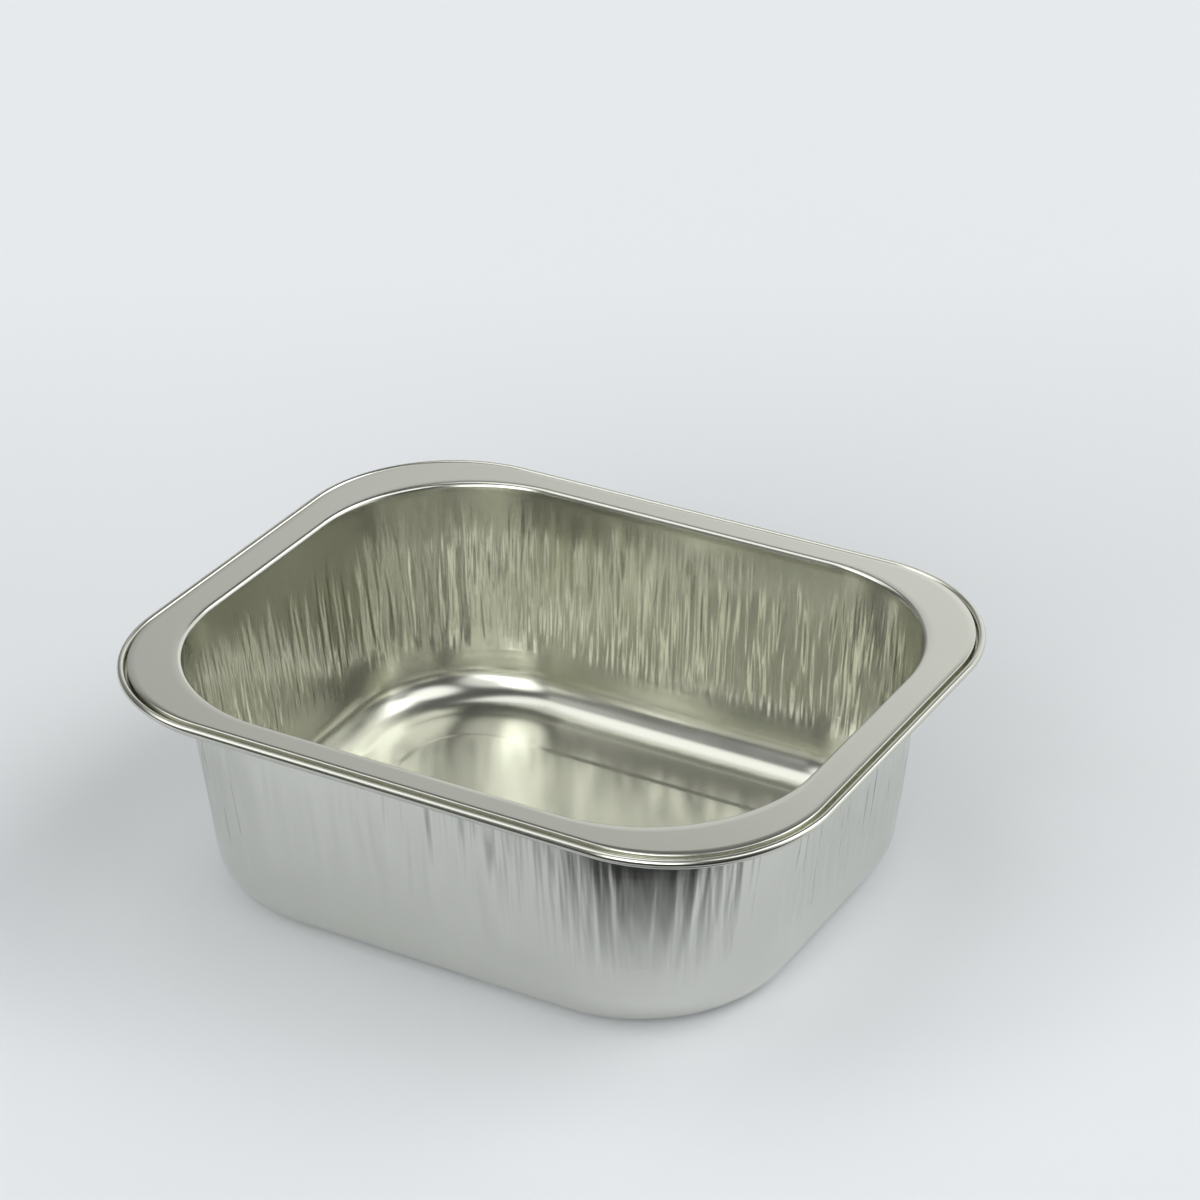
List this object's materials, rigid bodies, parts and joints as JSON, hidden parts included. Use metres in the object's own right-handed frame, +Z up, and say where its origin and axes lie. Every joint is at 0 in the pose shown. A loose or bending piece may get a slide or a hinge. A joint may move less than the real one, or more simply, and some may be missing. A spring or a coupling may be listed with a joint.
{
  "type": "foil tray",
  "caption": "Smooth-wall rectangular foil tray with rounded corners, a flat sealing flange and a curled rim, for baking and holding food.",
  "frame": {"origin": "middle of the base, on the plane that the tray stands on", "axes": "+X along the long side, +Y along the short side, +Z up out of the open mouth"},
  "size_m": [0.1494, 0.1222, 0.0484],
  "materials": {
    "bare_aluminium": "satin, drawn",
    "tinted_film": "clear satin film with a pale warm tint over metal"
  },
  "bodies": {
    "root": {"tray_shell": "bare_aluminium", "food_side_film": "tinted_film"}
  },
  "joints": []
}
